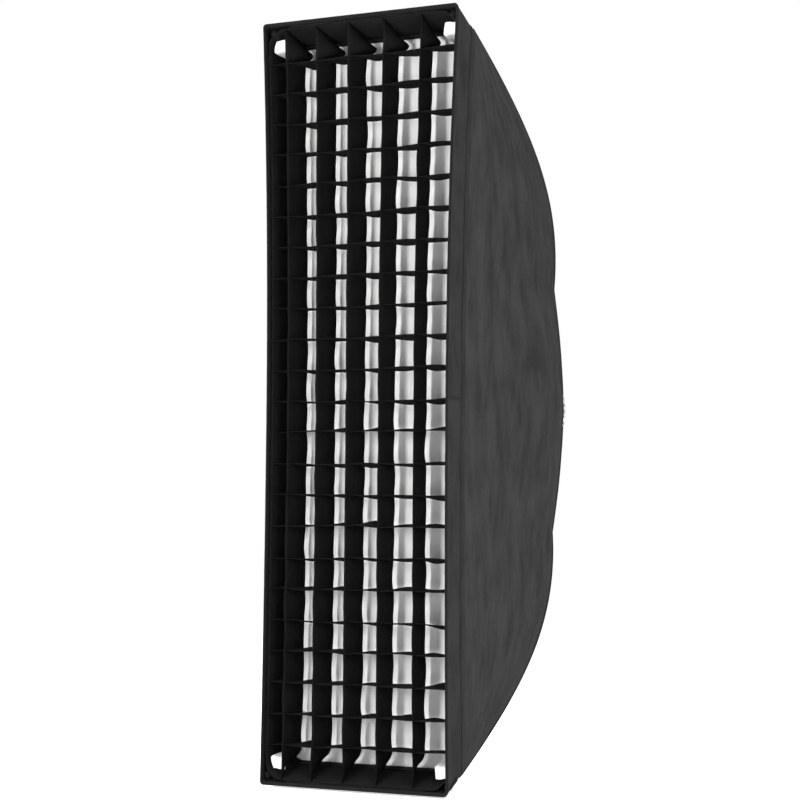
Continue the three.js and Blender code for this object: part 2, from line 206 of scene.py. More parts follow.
def flared(x, z):
    return x * (1 + FLARE * z * abs(z) / HALF_HEIGHT**2)


def bowed(x, z):
    return flared(x, z) * (1 - (EDGE_BOW / HALF_WIDTH) * (1 - (z / HALF_HEIGHT) ** 2))


def on_lip(x, depth, z):
    """Where a point of a straight box lies once its edges bow and its sides taper with the shell."""
    height = ridge_height_at(depth)
    return (bowed(x, z) * ridge_x(height) / HALF_WIDTH, depth, z * height / HALF_HEIGHT)


def lip_outline(inset, radius):
    """Points round a straight rounded rectangle, anticlockwise from the middle of its right side."""
    x, z = HALF_WIDTH - inset - radius, HALF_HEIGHT - inset - radius
    corners = [(x, z, 0.0), (-x, z, 90.0), (-x, -z, 180.0), (x, -z, 270.0)]
    stops = [(x + radius, 0.0)]
    for centre_x, centre_z, start in corners:
        for share in shares(CORNER_STEPS):
            a = math.radians(start + 90.0 * share)
            stops.append((centre_x + radius * math.cos(a), centre_z + radius * math.sin(a)))
    points = []
    for here, there in zip(stops, stops[1:] + stops[:1]):
        steps = max(1, round(math.dist(here, there) / OUTLINE_SPACING))
        points += [tuple(lerp(a, b, share) for a, b in zip(here, there)) for share in shares(steps)[:-1]]
    return points


def lip_line(inset, depth):
    """A closed line round the lip."""
    ring = [on_lip(x, depth, z) for x, z in lip_outline(inset, CORNER_RADIUS)]
    return ring + ring[:1]


def drawn_in(x, z, inwards):
    """A point of the outline moved inwards, away from the shell's outer face."""
    return x * (1 - inwards / HALF_WIDTH), z * (1 - inwards / HALF_HEIGHT)


def band(inset, radius, steps, point):
    """Rows of points, one for each place on an outline. Steps are the shares of the way along a row."""
    return [[point(x, z, v) for v in steps] for x, z in lip_outline(inset, radius)]


def ripple(seed, *place):
    """A smooth random value from about -1 to 1 at a place; the seed picks the pattern."""
    x, y, z = (tuple(place) + (0.0, 0.0))[:3]
    return noise.noise(Vector((x + 17.3 * seed, y - 9.1 * seed, z + 4.7 * seed)))


# ---- Meshes ----


SHARP_ANGLE = math.radians(32)
NEARLY_FLAT = math.radians(0.5)
WELD = 0.005  # CAD corners closer than this are one corner


def linked(name, data):
    """A new object in the scene."""
    made = bpy.data.objects.new(name, data)
    bpy.context.scene.collection.objects.link(made)
    return made


def mesh_object(name, vertices, faces, looks, slots=None, uvs=None, flat=()):
    """A closed mesh with its faces turned outwards. Flat faces keep a sharp edge to smooth ones."""
    mesh = bpy.data.meshes.new(name)
    placed = [(x * MM, (depth + FRONT) * MM, z * MM) for x, depth, z in vertices]
    mesh.from_pydata(placed, [], faces)
    for look in looks:
        mesh.materials.append(look)
    mesh.polygons.foreach_set("use_smooth", [True] * len(faces))
    if slots:
        mesh.polygons.foreach_set("material_index", slots)
    for index in flat:
        mesh.polygons[index].use_smooth = False
    if uvs:
        layer = mesh.uv_layers.new(name="UVMap")
        layer.data.foreach_set("uv", [c * MM for face in uvs for pair in face for c in pair])
    work = bmesh.new()
    work.from_mesh(mesh)
    bmesh.ops.recalc_face_normals(work, faces=work.faces)
    work.to_mesh(mesh)
    work.free()
    return linked(name, mesh)


def arc_lengths(line, wrap):
    closed = list(line) + [line[0]] if wrap else list(line)
    steps = [math.dist(a, b) for a, b in zip(closed, closed[1:])]
    return [0.0] + list(np.cumsum(steps))


def quads(rows, columns, wrap_u, wrap_v, lengths_u, lengths_v, offset=0):
    """The faces of a grid of points and their UVs, in millimetres of cloth."""
    faces, uvs = [], []
    for i in range(rows if wrap_u else rows - 1):
        for j in range(columns if wrap_v else columns - 1):
            ring = [(i, j), (i + 1, j), (i + 1, j + 1), (i, j + 1)]
            faces.append([offset + (a % rows) * columns + b % columns for a, b in ring])
            uvs.append([(lengths_u[a], lengths_v[b]) for a, b in ring])
    return faces, uvs


def skin(name, points, look, closed=False):
    """A solid whose surface is a row of rings of points: closed upon itself, or a bar with flat ends."""
    rows, columns = len(points), len(points[0])
    lengths_u = arc_lengths([row[0] for row in points], closed)
    lengths_v = arc_lengths(points[rows // 2], True)
    faces, uvs = quads(rows, columns, closed, True, lengths_u, lengths_v)
    flat = []
    if not closed:
        for row in (0, rows - 1):
            flat.append(len(faces))
            faces.append([row * columns + j for j in range(columns)])
            uvs.append([(lengths_v[j], 0.0) for j in range(columns)])
    vertices = [p for row in points for p in row]
    return mesh_object(name, vertices, faces, [look], None, uvs, flat)


def grid_normals(points, wrap):
    along_u = np.roll(points, -1, 0) - np.roll(points, 1, 0) if wrap else np.gradient(points, axis=0)
    normals = np.cross(along_u, np.gradient(points, axis=1))
    return normals / np.maximum(np.linalg.norm(normals, axis=2, keepdims=True), 1e-9)


def cloth(name, points, look, lining=None, thickness=FABRIC, wrap=False, inside=(0.0, 250.0, 0.0)):
    """A sheet of real thickness. Its lining, if it has one, is on the side that faces a point inside."""
    looks = [look, lining] if lining else [look]
    points = np.array(points, float)
    normals = grid_normals(points, wrap)
    if ((points - np.array(inside)) * normals).sum() < 0:
        normals = -normals
    rows, columns = points.shape[:2]
    count = rows * columns
    lengths_u = arc_lengths(points[:, columns // 2], wrap)
    lengths_v = arc_lengths(points[rows // 2], False)
    faces, uvs = quads(rows, columns, wrap, False, lengths_u, lengths_v)
    under, under_uvs = quads(rows, columns, wrap, False, lengths_u, lengths_v, count)
    slots = [0] * len(faces) + [len(looks) - 1] * len(under)
    faces += under
    uvs += under_uvs
    first_rim = len(faces)
    rims = [[(i, j) for i in range(rows + int(wrap))] for j in (0, columns - 1)]
    if not wrap:
        rims += [[(i, j) for j in range(columns)] for i in (0, rows - 1)]
    for rim in rims:
        for (a, b), (c, d) in zip(rim, rim[1:]):
            here, there = (a % rows) * columns + b, (c % rows) * columns + d
            faces.append([here, there, there + count, here + count])
            start, end = (lengths_u[a], lengths_v[b]), (lengths_u[c], lengths_v[d])
            uvs.append([start, end, end, start])
            slots.append(0)
    half = normals * thickness / 2
    vertices = np.concatenate([(points + half).reshape(-1, 3), (points - half).reshape(-1, 3)])
    return mesh_object(name, vertices, faces, looks, slots, uvs, range(first_rim, len(faces)))


def sampled(surface, across, along):
    return [[surface(u, v) for v in shares(along)] for u in shares(across)]


def tube(name, path, section, look, reference, closed=False):
    """A section swept along a path, its first axis square to the path and to the reference."""
    path = [Vector(p) for p in path]
    rows = []
    for i, here in enumerate(path):
        before = path[i - 1] if i or closed else here
        after = path[(i + 1) % len(path)] if i + 1 < len(path) or closed else here
        tangent = (after - before).normalized()
        side = tangent.cross(Vector(reference)).normalized()
        up = side.cross(tangent)
        rows.append([tuple(here + side * a + up * b) for a, b in section])
    return skin(name, rows, look, closed)


def circle(radius, sides=12):
    angles = [2 * math.pi * i / sides for i in range(sides)]
    return [(radius * math.cos(a), radius * math.sin(a)) for a in angles]


def oval(half_width, half_height):
    return [(half_width * a, half_height * b) for a, b in circle(1.0)]


def turned(name, profile, spot, direction, look, segments=48):
    """A body turned about an axis. Its profile is (radius, height) points, from axis to axis or closed."""
    turn = Vector((0, 1, 0)).rotation_difference(Vector(direction).normalized())
    vertices, rings = [], []
    for radius, height in profile:
        count = segments if radius > 0 else 1
        rings.append(range(len(vertices), len(vertices) + count))
        for i in range(count):
            a = 2 * math.pi * i / segments
            point = turn @ Vector((radius * math.cos(a), height, radius * math.sin(a)))
            vertices.append(tuple(Vector(spot) + point))
    pairs = list(zip(rings, rings[1:]))
    if profile[0][0] > 0:
        pairs.append((rings[-1], rings[0]))
    faces = []
    for one, two in pairs:
        for i in range(segments):
            k = (i + 1) % segments
            ring = [one[i % len(one)], one[k % len(one)], two[k % len(two)], two[i % len(two)]]
            faces.append(list(dict.fromkeys(ring)))
    piece = mesh_object(name, vertices, faces, [look])
    piece.data.set_sharp_from_angle(angle=SHARP_ANGLE)
    return piece


def refined(node, name, look, bevel):
    """A copy of a CAD node's mesh with its sharp edges rounded and its round faces shaded smooth."""
    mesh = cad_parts[node].data.copy()
    mesh.name = name
    work = bmesh.new()
    work.from_mesh(mesh)
    bmesh.ops.remove_doubles(work, verts=work.verts, dist=WELD * MM)
    bmesh.ops.dissolve_limit(work, angle_limit=NEARLY_FLAT, verts=work.verts, edges=work.edges)
    sharp = [e for e in work.edges if len(e.link_faces) == 2 and e.calc_face_angle() > SHARP_ANGLE]
    bmesh.ops.bevel(work, geom=sharp, offset=bevel * MM, segments=2, affect="EDGES", clamp_overlap=True)
    work.to_mesh(mesh)
    work.free()
    mesh.materials.clear()
    mesh.materials.append(look)
    mesh.polygons.foreach_set("use_smooth", [True] * len(mesh.polygons))
    mesh.set_sharp_from_angle(angle=math.radians(40))
    return linked(name, mesh)


def cut(piece, cutter):
    """Cuts one mesh out of another and removes the cutter."""
    step = piece.modifiers.new("cut", "BOOLEAN")
    step.operation = "DIFFERENCE"
    step.object = cutter
    bpy.context.view_layer.update()
    result = piece.evaluated_get(bpy.context.evaluated_depsgraph_get())
    mesh = bpy.data.meshes.new_from_object(result)
    piece.modifiers.clear()
    piece.data = mesh
    mesh.set_sharp_from_angle(angle=SHARP_ANGLE)
    bpy.data.objects.remove(cutter)


STITCH_PITCH = 4.0
STITCH_LENGTH = 2.9
THREAD_RADIUS = 0.38
STITCH_SIDES = 6
STITCH_RINGS = [(-0.5, 0.0), (-0.38, 1.0), (0.0, 1.25), (0.38, 1.0), (0.5, 0.0)]  # along it, and its width


def sew(name, path):
    """A line of sewing on the shell: short rounded lengths of thread laid end to end along a path."""
    lengths = arc_lengths(path, False)
    tracks = list(zip(*path))
    vertices, faces = [], []
    for k in range(int(lengths[-1] / STITCH_PITCH)):
        at = (k + 0.5) * STITCH_PITCH
        spots = [at - STITCH_LENGTH / 2, at + STITCH_LENGTH / 2]
        start, end = [Vector([np.interp(spot, lengths, track) for track in tracks]) for spot in spots]
        middle, run = (start + end) / 2, end - start
        side = run.normalized().orthogonal().normalized()
        other = run.normalized().cross(side)
        first = len(vertices)
        for share, width in STITCH_RINGS:
            centre = middle + run * share
            turns = circle(THREAD_RADIUS * width, STITCH_SIDES) if width else [(0.0, 0.0)]
            vertices += [tuple(centre + side * a + other * b) for a, b in turns]
        last = len(vertices) - 1
        one, two, three = [first + 1 + ring * STITCH_SIDES for ring in range(3)]
        for j in range(STITCH_SIDES):
            n = (j + 1) % STITCH_SIDES
            faces += [[first, one + n, one + j], [one + j, one + n, two + n, two + j]]
            faces += [[two + j, two + n, three + n, three + j], [three + j, three + n, last]]
    fix(mesh_object(name, vertices, faces, [THREAD_BLACK]), "black_tape")


def place(piece, body, slot, *nodes):
    """Puts a finished piece on its body and hides the CAD nodes it stands for. Its slot is not used."""
    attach(piece, body)
    if nodes:
        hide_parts(*nodes)


def fix(piece, slot, *nodes):
    """Places a piece that is fixed to the softbox itself."""
    place(piece, "softbox_body", slot, *nodes)


# ---- Materials ----


class Surface:
    """A node material in the making. Lengths given to it are millimetres."""

    WAVE_PERIOD = 0.314  # of a wave texture at scale 1

    def __init__(self, name, coordinates="UV"):
        self.material = bpy.data.materials.new(name)
        self.material.use_nodes = True
        self.tree = self.material.node_tree
        self.shader = self.tree.nodes["Principled BSDF"]
        self.place = self.tree.nodes.new("ShaderNodeTexCoord").outputs[coordinates]

    def node(self, kind, inputs, output=0, **settings):
        node = self.tree.nodes.new(kind)
        for key, value in settings.items():
            setattr(node, key, value)
        for key, value in inputs.items():
            self.feed(node.inputs[key], value)
        return node.outputs[output]

    def feed(self, socket, value):
        if isinstance(value, bpy.types.NodeSocket):
            self.tree.links.new(value, socket)
        else:
            socket.default_value = value

    def noise(self, feature, detail=3.0, stretch=(1.0, 1.0, 1.0)):
        where = self.node("ShaderNodeMapping", {"Vector": self.place, "Scale": stretch})
        inputs = {"Vector": where, "Scale": 1 / (feature * MM), "Detail": detail}
        return self.node("ShaderNodeTexNoise", inputs)

    def wave(self, period, direction, distortion=0.0):
        scale = self.WAVE_PERIOD / (period * MM)
        inputs = {"Vector": self.place, "Scale": scale, "Distortion": distortion}
        return self.node("ShaderNodeTexWave", inputs, bands_direction=direction)

    def cells(self, feature):
        return self.node("ShaderNodeTexVoronoi", {"Vector": self.place, "Scale": 1 / (feature * MM)})

    def product(self, a, b):
        return self.node("ShaderNodeMath", {0: a, 1: b}, operation="MULTIPLY")

    def remap(self, value, start=0.3, end=0.7, to_start=0.0, to_end=1.0):
        limits = {"From Min": start, "From Max": end, "To Min": to_start, "To Max": to_end}
        return self.node("ShaderNodeMapRange", {"Value": value} | limits)

    def mix(self, share, one, two):
        return self.node("ShaderNodeMixRGB", {"Fac": share, "Color1": one, "Color2": two})

    def bump(self, height, depth, under=None, strength=1.0):
        inputs = {"Height": height, "Distance": depth * MM, "Strength": strength}
        if under:
            inputs["Normal"] = under
        return self.node("ShaderNodeBump", inputs)

    def set(self, **values):
        for key, value in values.items():
            self.feed(self.shader.inputs[key.replace("_", " ")], value)


def grey(value, warmth=0.0):
    return (value * (1 + warmth), value, value * (1 - warmth), 1.0)


def scaled(colour, factor):
    return tuple(min(c * factor, 1.0) for c in colour[:3]) + (1.0,)


def woven(name, colour, roughness, thread, relief=0.05, variation=0.2, streaks=0.2, specular=0.03):
    """Plain-woven cloth: crossing threads, a slubby grain, streaks along the bolt and soft blotches."""
    s = Surface(name)
    weave = s.product(s.wave(thread, "X"), s.wave(thread, "Y"))
    slubs = s.noise(4.0, 2.0, (0.15, 1.0, 1.0))
    streak = s.noise(20.0, 4.0, (0.3, 1.0, 1.0))
    blotch = s.noise(42.0, 5.0, (0.5, 1.0, 1.0))
    shade = s.mix(s.remap(streak, 0.38, 0.62), scaled(colour, 1 - streaks), scaled(colour, 1 + streaks))
    faded = s.mix(s.remap(blotch, 0.42, 0.66), shade, scaled(colour, 1 + 2 * variation))
    # Painted shade: the hollows of the weave, between the threads, are painted darker.
    shaded_between_threads = s.mix(s.remap(weave, 0.0, 0.5), scaled(colour, 0.6), faded)
    s.set(Base_Color=shaded_between_threads, Roughness=s.remap(slubs, 0.3, 0.7, roughness - 0.06, roughness + 0.08))
    s.set(Specular_IOR_Level=specular)
    creased = s.bump(s.noise(20.0, 4.0, (0.35, 1.0, 1.0)), 0.7, strength=0.5)
    s.set(Normal=s.bump(weave, relief, s.bump(slubs, relief, creased)))
    return s.material


def ribbed(name, colour, roughness, rib=1.1, relief=0.15):
    """Grosgrain tape: ribs across it, with painted shade in the hollows between them and random worn
    patches on their crests.
    """
    s = Surface(name)
    ribs = s.wave(rib, "X", 0.4)
    fluff = s.noise(0.5, 2.0)
    worn = s.mix(s.remap(s.noise(25.0), 0.45, 0.75), scaled(colour, 0.8), scaled(colour, 1.5))
    # Painted shade: the hollows between the ribs are painted at half the tape's colour, so the crests look
    # paler.
    s.set(Base_Color=s.mix(ribs, scaled(colour, 0.5), worn))
    s.set(Roughness=s.remap(fluff, 0.2, 0.8, roughness, 0.98))
    s.set(Specular_IOR_Level=0.15, Normal=s.bump(ribs, relief, s.bump(fluff, 0.08)))
    return s.material


def pile(name, colour):
    """Loop tape: a dense nap of tiny loops."""
    s = Surface(name)
    loops = s.cells(0.9)
    nap = s.noise(7.0, 3.0)
    s.set(Base_Color=s.mix(s.remap(nap, 0.35, 0.7), scaled(colour, 0.6), scaled(colour, 1.5)))
    s.set(Roughness=0.95, Sheen_Weight=0.1, Specular_IOR_Level=0.05)
    s.set(Normal=s.bump(loops, 0.35, s.bump(nap, 0.3)))
    return s.material


def silvered(name):
    """Silver lining: a coated cloth, finely pebbled, with faint folds."""
    s = Surface(name)
    pebbles = s.cells(2.4)
    folds = s.noise(45.0, 4.0, (0.4, 1.0, 1.0))
    # Painted shade: the colour is darker in the hollows of the folds that the bump raises.
    s.set(Base_Color=s.mix(s.remap(folds), grey(0.62), grey(0.8)), Metallic=0.75)
    s.set(Roughness=s.remap(pebbles, 0.0, 0.7, 0.32, 0.5))
    s.set(Normal=s.bump(pebbles, 0.25, s.bump(folds, 1.2)))
    return s.material


def diffusing(name):
    """White diffusing nylon: fine ripstop squares in a soft cloth that lets some light through."""
    s = Surface(name)
    weave = s.product(s.wave(0.4, "X"), s.wave(0.4, "Y"))
    soft = s.noise(35.0, 3.0, (0.4, 1.0, 1.0))
    tone = s.mix(s.remap(soft), grey(0.78, 0.003), grey(0.86, 0.006))
    normal = s.bump(weave, 0.04, s.bump(soft, 1.0))
    s.set(Base_Color=tone, Roughness=0.75, Sheen_Weight=0.15, Specular_IOR_Level=0.25, Normal=normal)
    through = s.node("ShaderNodeBsdfTranslucent", {"Color": grey(0.7), "Normal": normal})
    both = s.node("ShaderNodeMixShader", {0: 0.25, 1: s.shader.outputs[0], 2: through})
    s.feed(s.tree.nodes["Material Output"].inputs["Surface"], both)
    return s.material


def metal(name, colour, roughness, grain=(1.0, 1.0, 1.0), scratch=0.02):
    """Bare metal: a drawn or turned grain, smudges in its polish and fine scratches."""
    s = Surface(name, "Object")
    drawn = s.noise(1.2, 4.0, grain)
    smudge = s.noise(12.0, 3.0)
    tone = s.mix(s.remap(smudge, 0.35, 0.7), scaled(colour, 0.82), colour)
    polish = s.remap(smudge, 0.3, 0.7, roughness, roughness + 0.16)
    s.set(Base_Color=tone, Metallic=1.0, Roughness=polish, Normal=s.bump(drawn, scratch))
    return s.material


def coated_casting(name):
    """Cast aluminium under black paint: an orange-peel skin, worn to bare metal along its edges."""
    s = Surface(name, "Object")
    peel = s.noise(0.9, 3.0)
    patches = s.noise(16.0, 4.0)
    edge_normal = s.node("ShaderNodeBevel", {"Radius": 0.7 * MM}, samples=4)
    true_normal = s.tree.nodes.new("ShaderNodeNewGeometry").outputs["Normal"]
    normals = {0: edge_normal, 1: true_normal}
    alike = s.node("ShaderNodeVectorMath", normals, output=1, operation="DOT_PRODUCT")
    edge = s.remap(alike, 0.99, 0.9)
    wear = s.product(edge, s.remap(patches, 0.45, 0.6))
    paint = s.mix(s.remap(patches), grey(0.018), grey(0.032))
    s.set(Base_Color=s.mix(wear, paint, grey(0.45)), Metallic=s.product(wear, 0.9))
    s.set(Roughness=s.remap(peel, 0.3, 0.7, 0.36, 0.52), Normal=s.bump(peel, 0.06))
    return s.material


def moulded_plastic(name):
    """Black moulded plastic: a spark-eroded grain, polished a little where fingers hold it."""
    s = Surface(name, "Object")
    grain = s.noise(0.35, 2.0)
    held = s.noise(9.0, 3.0)
    s.set(Base_Color=s.mix(s.remap(held, 0.35, 0.7), grey(0.012), grey(0.024)))
    s.set(Roughness=s.remap(held, 0.3, 0.7, 0.36, 0.58), Normal=s.bump(grain, 0.03))
    return s.material


SHELL_BLACK = woven("shell_nylon", grey(0.029), 0.72, thread=0.7, variation=0.4, streaks=0.3, specular=0.05)
LIP_BLACK = woven("lip_nylon", grey(0.023), 0.7, thread=0.7, variation=0.3, streaks=0.4, specular=0.05)
INSIDE_BLACK = woven("inside_nylon", grey(0.006), 0.9, thread=0.8)
GRID_BLACK = woven("grid_cloth", grey(0.007), 0.9, thread=0.9, relief=0.08, streaks=0.25)
BORDER_BLACK = woven("grid_border_cloth", grey(0.008), 0.9, thread=0.9, relief=0.08)
TAPE_BLACK = ribbed("binding_tape", grey(0.007), 0.85)
ELASTIC_BLACK = ribbed("elastic", grey(0.014), 0.8, rib=1.8, relief=0.3)
LOOP_BLACK = pile("loop_pile", grey(0.012))
SILVER = silvered("silver_lining")
WHITE = diffusing("white_nylon")
THREAD_BLACK = woven("black_thread", grey(0.02), 0.7, thread=0.3, specular=0.3)
STEEL = metal("spring_steel", grey(0.55), 0.24, grain=(1.0, 0.1, 0.1))
CHROME = metal("chromed_steel", grey(0.5), 0.2, scratch=0.008)
PLATED = metal("plated_steel", grey(0.62), 0.25, scratch=0.015)
BRASS = metal("brass", (0.62, 0.43, 0.17, 1.0), 0.28)
CASTING = coated_casting("painted_casting")
PLASTIC = moulded_plastic("black_plastic")


# ---- Shell: side, top and bottom panels ----

SEAM_HEIGHT = ridge_height_at(LIP_DEPTH)
PANEL_REACH = SEAM_HEIGHT - 3.0
CREASE_HEIGHT = 215.0  # half the height of the fold where the side panel turns over the speedring's arms
CREASE_SHARE = 0.26  # of the panel's depth that lies behind this fold, at mid height
CREASE_FRONT = 0.45  # of the panel's depth over which the fold fades away in front
CREASE_RISE = 13.0
CREST_ROUND = 0.1
LOW_START = 180.0  # below the middle, where the side panel's edge begins to turn in more
LOW_RUN = 180.0  # from there down to where it turns in most
EDGE_TURN = (1.6, 4.0)  # how far the side panel's rear edge turns in over the rod, and how far low down
EDGE_ROLL = (14.0, 55.0)  # the width of cloth that this turn takes up
SEAM_INSET = 0.9  # beyond the turned edge of the side panel
DRAW_POWER = 6  # high, so that the end panels are drawn to the collar only near their rear edge


def crease_rise(height, v):
    """The side panel stands out along a soft fold, in front of the rear edge."""
    share = 1 - (height / CREASE_HEIGHT) ** 2
    if share <= 0:
        return 0.0
    fold = 1 - CREASE_SHARE * share**0.7
    distance = (v - fold) / (1 - fold) if v > fold else (fold - v) / CREASE_FRONT
    return CREASE_RISE * share * (1 - smooth(math.hypot(distance, CREST_ROUND)))


def low_down(height):
    """From 0 where the panel's edge begins to turn in more to 1 where it turns in most."""
    return smooth((-height - LOW_START) / LOW_RUN)


def edge_turn(height):
    return lerp(*EDGE_TURN, low_down(height))


def edge_roll(height, depth, rear_depth):
    """How far the panel has turned in at a place towards its rear edge."""
    from_edge = (rear_depth - depth) / lerp(*EDGE_ROLL, low_down(height))
    return edge_turn(height) * max(0.0, 1 - from_edge) ** 2


def seam_inset(height):
    """How far inside the ridge's line the panels' seam and its piping lie."""
    return edge_turn(height) + SEAM_INSET


def panel_wrinkles(seed, height, depth, share):
    """Long shallow folds that run up the panel, and shorter ones that fan out from the seams' ends."""
    folds = 2.0 * ripple(seed, height / 260.0, depth / 38.0)
    fine = 0.5 * ripple(seed + 3, height / 70.0, depth / 11.0)
    near_corner = smooth((abs(height) - 330.0) / 200.0)
    slanted = ripple(seed + 5, (height + 1.4 * depth) / 45.0, (depth - 0.7 * height) / 260.0)
    return (folds + fine + 1.9 * near_corner * slanted) * swell(share, 0.5)


def side_panel_point(side, u, v):
    height = lerp(-PANEL_REACH, PANEL_REACH, u)
    seam_x = bowed(ridge_x(SEAM_HEIGHT), height * HALF_HEIGHT / SEAM_HEIGHT)
    rear_depth = ridge_depth_at(max(abs(height), RIDGE_HEIGHTS[0]))
    depth = lerp(LIP_DEPTH, rear_depth, v)
    x = lerp(seam_x, flared(rear_edge_x(abs(height)), height), v) - FABRIC / 2
    x += crease_rise(height, v) - edge_roll(height, depth, rear_depth)
    x += panel_wrinkles(side + 2, height, depth, min(max(v, 0.0), 1.0))
    return (side * x, depth, height)


def above_collar(x):
    """How far the collar's edge stands above the ridge's rear end, so below zero at its sides."""
    return math.sqrt(max(COLLAR_RADIUS**2 - x * x, 0.0)) - RIDGE_HEIGHTS[0]


@functools.lru_cache(maxsize=None)
def end_panel_reach(end, ridge, v):
    """Half the width at which the end panel, drawn down round the collar, meets the side panel's edge."""
    height = ridge
    for _ in range(12):
        half_width = rear_edge_x(max(height, 0.0))
        height = (height + ridge + above_collar(half_width) * v**DRAW_POWER) / 2
    return half_width - seam_inset(end * height)


def end_panel_point(end, u, v):
    t = ridge_parameter_at(LIP_DEPTH) * (1 - v)
    ridge, depth = bezier(RIDGE_HEIGHTS, t), bezier(RIDGE_DEPTHS, t)
    half_width = end_panel_reach(end, ridge, v)
    x = lerp(-half_width, half_width, u)
    hollow = 5.0 * (1 - (2 * u - 1) ** 2) * swell(v, 0.8)
    folds = 1.2 * ripple(end + 6, x / 30.0, v * 3.0) * swell(v, 0.5)
    height = ridge - FABRIC / 2 + above_collar(x) * v**DRAW_POWER - hollow + folds
    return (flared(x, end * height), depth - 0.35 * hollow, end * height)


def rear_edge_path(side):
    """The line of the seam from the top corner, round the speedring, to the bottom corner."""
    start = ridge_parameter_at(LIP_DEPTH)
    ridge = [start * (1 - share) for share in shares(80)]
    half = [(bezier(RIDGE_DEPTHS, t), bezier(RIDGE_HEIGHTS, t)) for t in ridge]
    half += [(RIDGE_DEPTHS[0], RIDGE_HEIGHTS[0] * (1 - share)) for share in shares(12)[1:]]
    line = half + [(depth, -z) for depth, z in reversed(half[:-1])]
    return [(side * flared(rear_edge_x(abs(z)) - seam_inset(z), z), depth, z) for depth, z in line]


def build_panels():
    for name, side in SIDES.items():
        surface = functools.partial(side_panel_point, side)
        panel = cloth(f"shell_side_{name}", sampled(surface, 200, 56), SHELL_BLACK, SILVER)
        fix(panel, "black_nylon", f"side_panel_{name}")
        path = rear_edge_path(side)
        piping = tube(f"ridge_piping_{name}", path, circle(2.1, 10), TAPE_BLACK, (1, 0, 0))
        fix(piping, "black_tape")
        line = [surface(u, 1 - 5.0 / 400) for u in shares(400)[8:-8]]
        sew(f"ridge_stitching_{name}", [(x + side * FABRIC * 0.6, y, z) for x, y, z in line])
    for name, end in ENDS.items():
        points = sampled(lambda u, v: end_panel_point(end, v, u), 90, 60)
        panel = cloth(f"shell_{name}", points, SHELL_BLACK, SILVER)
        fix(panel, "black_nylon", f"{name}_panel")


# ---- Lip, front hem and seam ----


HEM_SIDES = 16
GATHERS = 48  # round the collar


def lip_grid(inset, start, end, along, relief=lambda x, z, v: 0.0, radius=CORNER_RADIUS):
    """Points of a band round the lip. Relief is how far a point is drawn in."""

    def point(x, z, v):
        x, z = drawn_in(x, z, relief(x, z, v))
        return on_lip(x, lerp(start, end, v), z)

    return band(inset, radius, shares(along), point)


def lip_relief(x, z, v):
    waves = 0.5 * ripple(8, x / 60.0, z / 60.0, v) + 0.25 * ripple(9, x / 14.0, z / 14.0, 2 * v)
    return waves * swell(v, 0.5)


def hem_pucker(x, z):
    return 0.35 * ripple(10, x / 9.0, z / 9.0) + 0.3 * ripple(11, x / 28.0, z / 28.0)


def signed_power(value, power):
    return math.copysign(abs(value) ** power, value)


def hem_grid():
    """The binding folded over the lip's front edge: a flattened ring, puckered by its sewing."""
    half_width, half_depth = HEM_WIDTH / 2, HEM_DEPTH / 2

    def point(x, z, v):
        a = 2 * math.pi * v
        across = signed_power(math.cos(a), 0.6) * (half_width - 0.2)
        back = signed_power(math.sin(a), 0.75) * (half_depth - 0.1)
        x, z = drawn_in(x, z, across + hem_pucker(x, z) * (0.6 + 0.4 * math.cos(a)))
        return on_lip(x, half_depth + back, z)

    return band(half_width, CORNER_RADIUS - half_width, shares(HEM_SIDES)[:-1], point)


def build_lip():
    grid = lip_grid(FABRIC / 2, 4.0, LIP_DEPTH, 12, lip_relief)
    lip = cloth("lip_band_cloth", grid, LIP_BLACK, INSIDE_BLACK, wrap=True)
    fix(lip, "black_nylon", "lip_band")
    hem = skin("front_hem_binding", hem_grid(), TAPE_BLACK, closed=True)
    fix(hem, "black_tape", "front_hem")
    grid = lip_grid(-0.5, LIP_DEPTH - 10.5, LIP_DEPTH + 1.0, 4)
    seam = cloth("lip_seam_band", grid, LIP_BLACK, thickness=0.9, wrap=True)
    fix(seam, "black_nylon")
    sew("lip_seam_stitching_front", lip_line(-1.1, LIP_DEPTH - 8.5))
    sew("lip_seam_stitching_rear", lip_line(-1.1, LIP_DEPTH - 1.5))
    sew("front_hem_stitching", lip_line(0.0, HEM_DEPTH - 1.6))
    outside = HALF_WIDTH + 0.35
    join = [on_lip(outside, lerp(HEM_DEPTH, LIP_DEPTH - 11.0, share), 0.0) for share in shares(20)]
    overlap = tube("lip_join", join, oval(3.0, 0.35), LIP_BLACK, (1, 0, 0))
    fix(overlap, "black_nylon")


def build_collar():
    """A gathered collar that draws the panels in against the speedring's shoulder."""
    outer, inner = COLLAR_RADIUS + 2.5, 80.9
    front, rear = COLLAR_DEPTH - 1.2, end_depth("rear_collar") - 0.6

    def surface(u, v):
        a = 2 * math.pi * u
        radius = lerp(outer, inner, v)
        gather = 0.55 * math.cos(GATHERS * a + 2 * math.sin(5 * a)) * swell(min(v + 0.1, 1.0))
        depth = lerp(front, rear, smooth(v)) + gather
        return (radius * math.cos(a), depth, radius * math.sin(a))

    points = sampled(surface, 8 * GATHERS, 8)[:-1]
    collar = cloth("collar_gathered", points, TAPE_BLACK, SILVER, wrap=True)
    fix(collar, "black_tape", "rear_collar")
    ring = [surface(share, 0.12) for share in shares(200)]
    sew("collar_stitching", [(x, y + 0.9, z) for x, y, z in ring])


# ---- Inside the lip: loop tape, diffuser and grid ----


